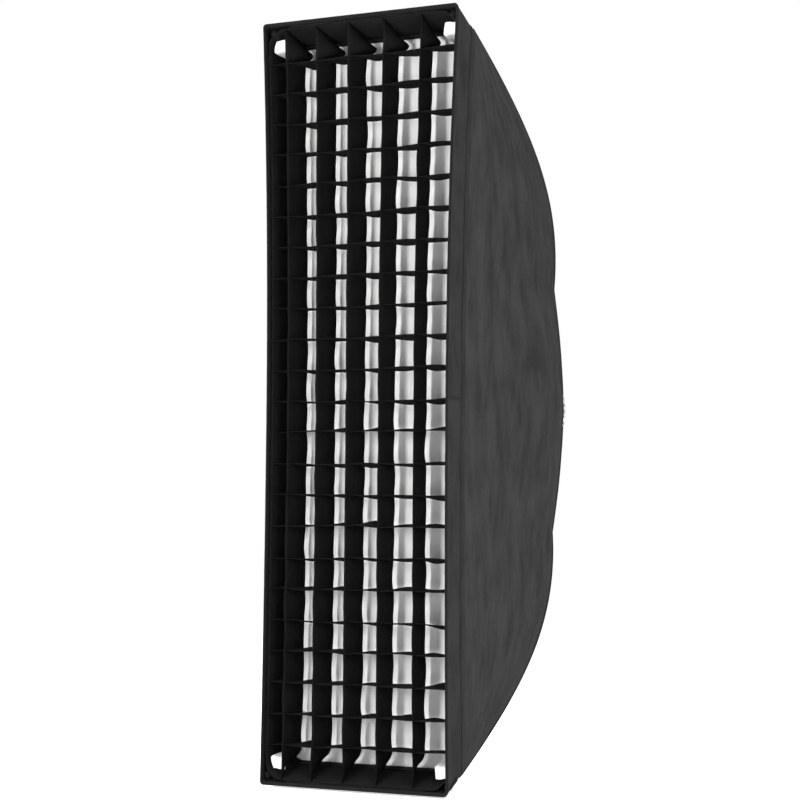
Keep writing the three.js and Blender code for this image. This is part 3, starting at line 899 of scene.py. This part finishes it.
def build_loop_tapes():
    inset = TAPE_INSET + TAPE_THICKNESS / 2
    wall_x, wall_z = HALF_WIDTH - inset, HALF_HEIGHT - inset
    reach_x, reach_z = HALF_WIDTH - TAPE_GAP, HALF_HEIGHT - TAPE_GAP
    runs = {name: ((side * wall_x, 0.0), (0.0, reach_z), 120) for name, side in SIDES.items()}
    runs |= {name: ((0.0, end * wall_z), (reach_x, 0.0), 40) for name, end in ENDS.items()}
    for name, (middle, reach, steps) in runs.items():

        def surface(u, v):
            x, z = [centre + lerp(-half, half, u) for centre, half in zip(middle, reach)]
            return on_lip(x, lerp(TAPE_FRONT, TAPE_REAR, v), z)

        points = sampled(surface, steps, 8)
        tape = cloth(f"loop_strip_{name}", points, LOOP_BLACK, thickness=TAPE_THICKNESS)
        fix(tape, "black_tape", f"loop_tape_{name}")


def build_diffuser():
    """The sheet is drawn tight inside its binding, with shallow waves along its edge."""
    inset = FITTING_INSET + 1.0
    half_height = HALF_HEIGHT - inset

    def surface(u, v):
        z = lerp(-half_height, half_height, v)
        into_corner = max(0.0, abs(z) - (half_height - CLEAR_RADIUS))
        shrink = CLEAR_RADIUS - math.sqrt(max(CLEAR_RADIUS**2 - into_corner**2, 1.0))
        half_width = HALF_WIDTH - inset - shrink
        x = lerp(-half_width, half_width, u)
        wave = 0.7 * ripple(12, x / 45.0, z / 80.0) + 0.5 * ripple(13, x / 16.0, z / 16.0)
        across, depth, up = on_lip(x, DIFFUSER_DEPTH - FABRIC / 2, z)
        return (across, depth + wave, up)

    sheet = cloth("diffuser_sheet", sampled(surface, 40, 160), WHITE, thickness=THIN)
    place(sheet, "diffuser", "white_nylon", "front_diffuser")
    front, rear = start_depth("diffuser_hem"), end_depth("diffuser_hem") + 0.4
    grid = lip_grid(FITTING_INSET + 0.7, front, rear, 3, binding_relief, CLEAR_RADIUS)
    binding = cloth("diffuser_binding", grid, TAPE_BLACK, wrap=True)
    place(binding, "diffuser", "black_tape", "diffuser_hem")
    place(join_pieces("diffuser_corner_folds", corner_folds()), "diffuser", "white_nylon")


def binding_relief(x, z, _):
    return 0.25 * ripple(14, x / 12.0, z / 12.0)


FOLD_OUTER, FOLD_INNER = 173.0, 147.0  # across the strip, from its middle
FOLD_LOW, FOLD_HIGH = 543.0, 574.0
FOLD_ROUND = 556.0  # above this height the folds keep inside the round corner of the grid's border
FOLD_FRONT = 18.0
FOLD_TURN = 0.45  # share of a fold's height over which it comes forward


def corner_folds():
    """Loose cloth at each corner of the diffuser that stands forward in front of the rod's pocket."""
    folds = []
    for name, (side, end) in CORNERS.items():

        def surface(u, v):
            z = lerp(FOLD_LOW, FOLD_HIGH, v) + 1.5 * ripple(15, 3.0 * u, v)
            above = max(0.0, z - FOLD_ROUND)
            outer = FOLD_OUTER - CLEAR_RADIUS + math.sqrt(CLEAR_RADIUS**2 - above**2)
            depth = lerp(DIFFUSER_DEPTH - FABRIC, FOLD_FRONT, smooth(v / FOLD_TURN)) + 4.0 * u * u * v
            across = on_lip(lerp(outer, FOLD_INNER, u), depth, end * z)[0]
            return (side * across, depth + 1.5 * ripple(17, side * 3.0 * u, end * 2.0 * v), end * z)

        folds.append(cloth(f"fold_{name}", sampled(surface, 16, 20), WHITE, thickness=THIN))
    return folds


ROW_FAN = 0.005  # how far the rows' rear edges fan out up and down, for each mm from the level one
LEVEL_ROW = -207.0
ONE_WAY = 250.0  # rows further than this from the level one lean back towards it, nearer ones either way
BOTTOM_BUCKLE = -25.0  # how far the long strips buckle sideways in the bottom row of cells
TOP_BUCKLE = 24.0
CELL_STEPS = 8  # along one cell's length of a strip
STRIP_STEPS = 8  # from a strip's front edge to its rear edge
STRIP_INSET = FITTING_INSET + 1.4  # of the strips' ends


def row_height(row):
    """Heights of the cross strips, from the bottom one up."""
    return (row - ROWS / 2) * ROW_PITCH


END_HEIGHT = HALF_HEIGHT - STRIP_INSET
END_X = HALF_WIDTH - STRIP_INSET
LAST_ROW = row_height(ROWS - 1)
LEVELS = [-END_HEIGHT] + [row_height(j) for j in range(1, ROWS)] + [END_HEIGHT]
STOPS = [(-END_X, -END_X)] + list(zip(LONG_FRONT, LONG_REAR)) + [(END_X, END_X)]


def grid_place(x, z, v):
    """A place in the grid. Rows lie straight across it, and only its ends follow the tapering lip."""
    depth = lerp(GRID_FRONT, GRID_REAR, v)
    px, _, tapered = on_lip(x, depth, z)
    level = z * ridge_height_at(GRID_FRONT) / HALF_HEIGHT + ROW_FAN * (z - LEVEL_ROW) * v
    to_end = smooth((abs(z) - LAST_ROW) / (END_HEIGHT - LAST_ROW))
    return (px, depth, lerp(level, tapered, to_end))


def cell_shares(last):
    """Shares of the way along a cell. Only the last cell has its far end, which is the next one's start."""
    return shares(CELL_STEPS)[:None if last else -1]


def long_strip(front_x, rear_x, chance):
    """One strip up the grid. Between two cross strips its rear edge leans and bulges on its own."""
    rows = []
    for cell, (start, end) in enumerate(zip(LEVELS, LEVELS[1:])):
        top = cell == ROWS - 1
        bulge, lean, front = chance.uniform(-1.5, 3.5), chance.uniform(0.5, 4.5), chance.uniform(-1.3, 1.3)
        buckle = chance.uniform(0.55, 1.1) * {0: BOTTOM_BUCKLE, ROWS - 1: TOP_BUCKLE}.get(cell, 0.0)
        if buckle:
            bulge, lean = 0.0, 0.0
        for share in cell_shares(top):
            arch, down = swell(share), 1 - share
            tilt = -lean * down * (1 - down**5)
            push = swell(share**0.55) if top else down**1.2
            row = []
            for v in shares(STRIP_STEPS):
                x = lerp(front_x, rear_x, v)
                x += v * v * (bulge * arch + tilt) + (1 - v) ** 2 * front * arch
                x += buckle * push * swell(v * 0.6, 1.5)
                row.append(grid_place(x, lerp(start, end, share), v))
            rows.append(row)
    return rows


def cross_strip(height, strength, chance):
    """One strip across the grid. Each cell's stretch of it sags or lifts on its own."""
    offset = height - LEVEL_ROW
    drop = math.copysign(1.0, -offset) if abs(offset) > ONE_WAY else chance.choice((-1, 1))
    crossings = [(chance.uniform(-1.8, 1.8), drop * chance.uniform(1.6, 3.8)) for _ in STOPS]
    rows = []
    for cell, (start, end) in enumerate(zip(STOPS, STOPS[1:])):
        front = chance.uniform(-1.5, 1.5)
        apart = drop * chance.uniform(0.0, 5.0) * strength
        skew = chance.uniform(-1.5, 1.5) * strength
        for share in cell_shares(cell == len(STOPS) - 2):
            arch = swell(share)
            ends = zip(crossings[cell], crossings[cell + 1])
            lift, twist = [lerp(here, there, smooth(share)) for here, there in ends]
            row = []
            for v in shares(STRIP_STEPS):
                x = lerp(lerp(start[0], end[0], share), lerp(start[1], end[1], share), v)
                z = height + lift + (twist + apart * arch) * v + front * arch
                z += skew * math.sin(2 * math.pi * share) * v
                row.append(grid_place(x, z, v))
            rows.append(row)
    return rows


def border_point(x, z, v):
    """The border band is pinched at each row and flops in here and there."""
    nearest = abs((z / ROW_PITCH) % 1.0 - 0.5) * 2
    pinch = 0.9 * smooth((nearest - 0.75) / 0.25)
    flop = 2.2 * max(0.0, ripple(16, x / 30.0, z / 22.0)) * abs(2 * v - 1)
    return grid_place(*drawn_in(x, z, pinch + flop), v)


def join_pieces(name, pieces):
    """Several meshes of one look as one object."""
    work = bmesh.new()
    look = pieces[0].data.materials[0]
    for piece in pieces:
        work.from_mesh(piece.data)
        bpy.data.objects.remove(piece)
    mesh = bpy.data.meshes.new(name)
    work.to_mesh(mesh)
    work.free()
    mesh.materials.append(look)
    return linked(name, mesh)


def build_grid():
    chance = random.Random(21)
    strips = []
    for i, (front_x, rear_x) in enumerate(zip(LONG_FRONT, LONG_REAR)):
        points = long_strip(front_x, rear_x, chance)
        strips.append(cloth(f"long_{i}", points, GRID_BLACK, thickness=THIN, inside=(-400.0, 30.0, 0.0)))
    place(join_pieces("grid_long_strips", strips), "grid", "grid_fabric", "grid_cells")
    strips = []
    for j in range(1, ROWS):
        strength = 1.0 + 0.5 * smooth((abs(j - ROWS / 2) - 7) / 4)
        points = cross_strip(row_height(j), strength, chance)
        strips.append(cloth(f"cross_{j}", points, GRID_BLACK, thickness=THIN, inside=(0.0, 30.0, -900.0)))
    place(join_pieces("grid_cross_strips", strips), "grid", "grid_fabric")
    rows = band(FITTING_INSET + 0.6, CLEAR_RADIUS, shares(10), border_point)
    border = cloth("grid_border_band", rows, BORDER_BLACK, wrap=True)
    place(border, "grid", "black_tape", "grid_border")


# ---- Inner baffle ----


BAFFLE_STEPS = (40, 110)  # across it and up it
STRAP_WIDTH = 13.6
STRAP_THICKNESS = 1.1


def build_baffle():
    half_width, half_height = high("inner_baffle").x, high("inner_baffle").z
    depth = end_depth("inner_baffle") - FABRIC / 2

    def surface(u, v):
        x, z = lerp(-half_width, half_width, u), lerp(-half_height, half_height, v)
        wave = 0.8 * ripple(18, x / 50.0, z / 90.0)
        return (x * (1 - 0.03 * swell(v, 0.6)), depth + wave, z * (1 - 0.008 * swell(u)))

    sheet = cloth("baffle_sheet", sampled(surface, *BAFFLE_STEPS), WHITE, thickness=THIN)
    place(sheet, "baffle", "white_nylon", "inner_baffle")
    across, up = [shares(steps)[:-1] for steps in BAFFLE_STEPS]
    edge = [surface(u, 0.0) for u in across] + [surface(1.0, v) for v in up]
    edge += [surface(1 - u, 1.0) for u in across] + [surface(0.0, 1 - v) for v in up]
    binding = tube("baffle_binding", edge, oval(3.2, 1.1), WHITE, (0, 1, 0), closed=True)
    place(binding, "baffle", "white_nylon")
    for name in CORNERS:
        build_strap(name, "baffle_strap", "baffle_elastic", 60, ELASTIC_BLACK, "baffle", ripples=0.12)
        build_strap(name, "seam_tab", "snap_tab", 14, TAPE_BLACK, "softbox_body")
        build_snap(name)


def build_strap(corner, node, name, steps, look, body, ripples=0.0):
    """A flat strap along the long way of a CAD node's box, which lies askew in x and z."""
    node = f"{node}_{corner}"
    depth = (start_depth(node) + end_depth(node)) / 2
    flat = np.array([v.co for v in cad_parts[node].data.vertices])[:, [0, 2]] / MM
    centre = flat.mean(axis=0)
    along, across = np.linalg.svd(flat - centre)[2]
    reach = np.abs((flat - centre) @ along).max()

    def surface(u, v):
        run, side = lerp(-reach, reach, u), lerp(-STRAP_WIDTH / 2, STRAP_WIDTH / 2, v)
        x, z = centre + along * run + across * side
        return (x, depth + ripples * math.sin(9 * math.pi * u), z)

    strap = cloth(f"{name}_{corner}", sampled(surface, steps, 6), look, thickness=STRAP_THICKNESS)
    place(strap, body, "black_tape", node)


def standing(node):
    """Where the middle of a round CAD node's front face lies, and the node's length along the axis."""
    lowest, highest = low(node), high(node)
    centre = (lowest + highest) / 2
    return (centre.x, lowest.y - FRONT, centre.z), highest.y - lowest.y


def build_snap(corner):
    spot, tall = standing(f"snap_button_{corner}")
    foot = [(0.0, 0.0), (5.6, 0.0), (6.0, 0.3), (6.0, 0.8), (5.2, 1.0), (4.4, 1.1)]
    crown = [(4.2, tall - 0.5), (3.8, tall - 0.1), (3.0, tall), (0.0, tall)]
    snap = turned(f"snap_{corner}", foot + crown, spot, (0, 1, 0), PLATED)
    place(snap, "baffle", "chromed_steel", f"snap_button_{corner}")


# ---- Rods, with their ferrules, front caps and corner pockets ----


# Profiles of (radius, distance along the rod): a closed end, the outside up to the mouth, and the bore.
FERRULE = [(0.0, -2.3), (3.4, -2.3), (4.0, -1.7), (4.0, 13.6), (3.75, 14.2), (3.75, 15.6), (4.0, 16.2)]
FERRULE += [(4.0, 21.6), (3.6, 22.0), (3.1, 22.0), (3.1, -0.3), (0.0, -0.3)]
CAP = [(0.0, -2.3), (1.8, -2.2), (3.2, -1.6), (4.0, -0.4), (4.2, 1.0), (4.2, 12.8), (3.9, 13.7)]
CAP += [(3.4, 14.0), (2.9, 14.0), (2.9, -0.3), (0.0, -0.3)]
POCKET = [(0.0, -3.8), (3.0, -3.8), (5.2, -3.2), (5.9, -2.0)]
POCKET += [(5.9, 2.0 * i) for i in range(10)] + [(6.2, 20.0), (6.3, 22.5), (5.9, 24.0)]
POCKET += [(4.8, 24.0), (4.6, 22.0), (4.6, 0.0), (4.4, -2.3), (0.0, -2.6)]


def rod_point(corner, t):
    x, z = corner
    across = bezier([ridge_x(h) - ROD_INSET for h in ROD_HEIGHTS], t)
    return Vector((x * across, bezier(ROD_DEPTHS, t), z * bezier(ROD_HEIGHTS, t)))


def build_rods():
    for name, corner in CORNERS.items():
        path = [rod_point(corner, share) for share in shares(64)]
        rod = tube(f"rod_bar_{name}", path, circle(ROD_RADIUS, 16), STEEL, (1, 0, 0))
        fix(rod, "spring_steel", f"rod_{name}")
        ferrule = turned(f"ferrule_{name}", FERRULE, path[0], path[1] - path[0], BRASS, 40)
        fix(ferrule, "brass", f"rod_ferrule_{name}")
        tip, inwards = path[-1], path[-2] - path[-1]
        cap = turned(f"end_cap_{name}", CAP, tip, inwards, PLASTIC, 40)
        fix(cap, "black_plastic", f"rod_cap_{name}")
        build_pocket(name, tip, inwards)


POCKET_SIDES = 36
POCKET_FOLDS = 7
POCKET_WALL = 4.7  # outside this radius the pocket's cloth is wrinkled


def build_pocket(name, tip, inwards):
    """A webbing pocket sewn into the corner: a wrinkled sleeve, closed in front, with a turned mouth."""
    turn = Vector((0, 1, 0)).rotation_difference(inwards.normalized())
    rows = []
    for radius, height in POCKET:
        row = []
        for share in shares(POCKET_SIDES)[:-1]:
            a = 2 * math.pi * share
            fold = 0.3 * math.cos(POCKET_FOLDS * a + 0.2 * height) * smooth(radius - POCKET_WALL)
            r = max(radius - abs(fold), 0.02 * (share + 1 / POCKET_SIDES) if radius == 0.0 else 0.0)
            point = turn @ Vector((r * math.cos(a), height, r * math.sin(a)))
            row.append(tuple(tip + point))
        rows.append(row)
    fix(skin(f"pocket_{name}", rows, TAPE_BLACK), "black_tape", f"corner_pocket_{name}")


# ---- Speedring, bayonet insert, screws and lock screws ----


THREAD_OUTER, THREAD_INNER = 1.35, 1.1
THREAD_PITCH = 0.5
CROSS_SLOT = (3.4, 1.6, 0.75)  # length, height and width of the block that cuts each slot in the head


def build_screw(number):
    node = f"retaining_screw_{number}"
    spot, tall = standing(node)
    under = tall - 1.6
    profile = [(0.0, 0.0), (THREAD_INNER, 0.0)]
    for turn in range(12):
        at = 0.4 + turn * THREAD_PITCH
        profile += [(THREAD_OUTER, at), (THREAD_INNER, at + THREAD_PITCH / 2)]
    profile += [(THREAD_OUTER, under), (3.0, under), (3.0, under + 0.5), (2.7, under + 1.1)]
    profile += [(1.9, under + 1.5), (0.0, tall)]
    screw = turned(f"pan_screw_{number}", profile, spot, (0, 1, 0), PLATED)
    crown = Vector((spot[0], spot[1] + tall + FRONT + 0.1, spot[2])) * MM
    for angle in (20.0, 110.0):
        bpy.ops.mesh.primitive_cube_add(size=1.0)
        cutter = bpy.context.active_object
        size = Matrix.Diagonal((*(Vector(CROSS_SLOT) * MM), 1.0))
        rotation = Matrix.Rotation(math.radians(angle), 4, "Y")
        cutter.data.transform(Matrix.Translation(crown) @ rotation @ size)
        cut(screw, cutter)
    fix(screw, "chromed_steel", node)


def build_washer(number):
    node = f"retaining_washer_{number}"
    spot, tall = standing(node)
    profile = [(1.75, 0.0), (5.3, 0.0), (5.5, 0.2), (5.5, tall - 0.2), (5.3, tall), (1.9, tall)]
    profile.append((1.75, tall - 0.1))
    washer = turned(f"washer_{number}", profile, spot, (0, 1, 0), PLATED)
    fix(washer, "chromed_steel", node)


def finished(node, name, look, bevel, body, slot):
    place(refined(node, name, look, bevel), body, slot, node)


def build_speedring():
    finished("speedring", "speedring_casting", CASTING, 0.7, "softbox_body", "cast_aluminium")
    finished("bayonet_insert", "bayonet_plate", CHROME, 0.4, "mount_insert", "chromed_steel")
    for number in range(1, 5):
        build_washer(number)
        build_screw(number)
    for name in ENDS:
        knob, tip = f"lock_knob_{name}", f"lock_tip_{name}"
        finished(knob, f"knob_{name}", PLASTIC, 0.9, knob, "black_plastic")
        finished(tip, f"tip_{name}", BRASS, 0.3, tip, "brass")


# ---- Stage: floor, light and camera ----


AMBIENT = 0.45  # strength of the white surroundings as a light
FLOOR_GLOW = 0.6  # lifts the far floor to the white of the surroundings
FLOOR_GAP = 0.002  # metres between the floor and the lowest point of the CAD box
FLOOR_SIZE = 60.0

CAMERA_AZIMUTH, CAMERA_ELEVATION, CAMERA_ROLL = 35.0, -2.606, 0.51
CAMERA_DISTANCE = 4.556  # metres, from the middle of the open front
CAMERA_LENS, CAMERA_SHIFT = 133.2, 0.057


def build_floor():
    spot = (0.0, 0.0, CAD_BOX[0].z - FLOOR_GAP)
    bpy.ops.mesh.primitive_plane_add(size=FLOOR_SIZE, location=spot)
    floor = bpy.context.active_object
    floor.name = "floor"
    s = Surface("floor_paint", "Object")
    tone = s.mix(s.remap(s.noise(900.0)), grey(0.9), grey(0.93))
    s.set(Base_Color=tone, Roughness=0.9, Specular_IOR_Level=0.1)
    seen = s.tree.nodes.new("ShaderNodeLightPath").outputs["Is Camera Ray"]
    s.set(Emission_Color=grey(1.0), Emission_Strength=s.product(seen, FLOOR_GLOW))
    floor.data.materials.append(s.material)


def facing(azimuth, elevation):
    """The way from the object to a light or camera, and the turn that makes it face the object.

    Azimuth 0 is straight ahead of the open front and 90 is on its right.
    """
    a, e = math.radians(azimuth), math.radians(elevation)
    away = Vector((math.sin(a) * math.cos(e), -math.cos(a) * math.cos(e), math.sin(e)))
    return away, away.to_track_quat("Z", "Y")


def area_light(name, azimuth, elevation, distance, width, height, power):
    """A soft light that faces the object. Its distance and size are metres, and its power is watts."""
    data = bpy.data.lights.new(name, "AREA")
    data.shape = "RECTANGLE"
    data.size, data.size_y, data.energy = width, height, power
    light = linked(name, data)
    away, turn = facing(azimuth, elevation)
    light.location = away * distance
    light.rotation_mode = "QUATERNION"
    light.rotation_quaternion = turn


def build_lights():
    """A white studio: the surroundings look white, and soft boxes do most of the lighting."""
    world = bpy.data.worlds.new("studio")
    world.use_nodes = True
    tree = world.node_tree
    seen = tree.nodes.new("ShaderNodeLightPath").outputs["Is Camera Ray"]
    strength = tree.nodes.new("ShaderNodeMapRange")
    strength.inputs["To Min"].default_value = AMBIENT
    tree.links.new(seen, strength.inputs["Value"])
    background = tree.nodes["Background"]
    background.inputs["Color"].default_value = grey(1.0)
    tree.links.new(strength.outputs[0], background.inputs["Strength"])
    bpy.context.scene.world = world
    area_light("key", -16.0, 8.0, 3.2, 0.45, 1.6, 88.0)
    area_light("fill", 38.0, 2.0, 4.2, 1.0, 2.0, 42.0)
    area_light("side", 52.0, 4.0, 1.7, 0.4, 0.4, 14.0)
    area_light("sky", 0.0, 90.0, 3.4, 6.0, 6.0, 420.0)
    bpy.context.scene.view_settings.view_transform = "Standard"


def build_camera():
    """The camera stands to the right of the open front, a little below its middle."""
    data = bpy.data.cameras.new("camera")
    data.lens, data.sensor_width, data.shift_x = CAMERA_LENS, 36.0, CAMERA_SHIFT
    camera = linked("camera", data)
    away, turn = facing(CAMERA_AZIMUTH, CAMERA_ELEVATION)
    spot = Vector((0.0, FRONT * MM, 0.0)) + away * CAMERA_DISTANCE
    roll = Matrix.Rotation(math.radians(CAMERA_ROLL), 4, "Z")
    camera.matrix_world = Matrix.Translation(spot) @ turn.to_matrix().to_4x4() @ roll
    bpy.context.scene.camera = camera


build_panels()
build_lip()
build_collar()
build_loop_tapes()
build_diffuser()
build_grid()
build_baffle()
build_rods()
build_speedring()
build_floor()
build_lights()
build_camera()
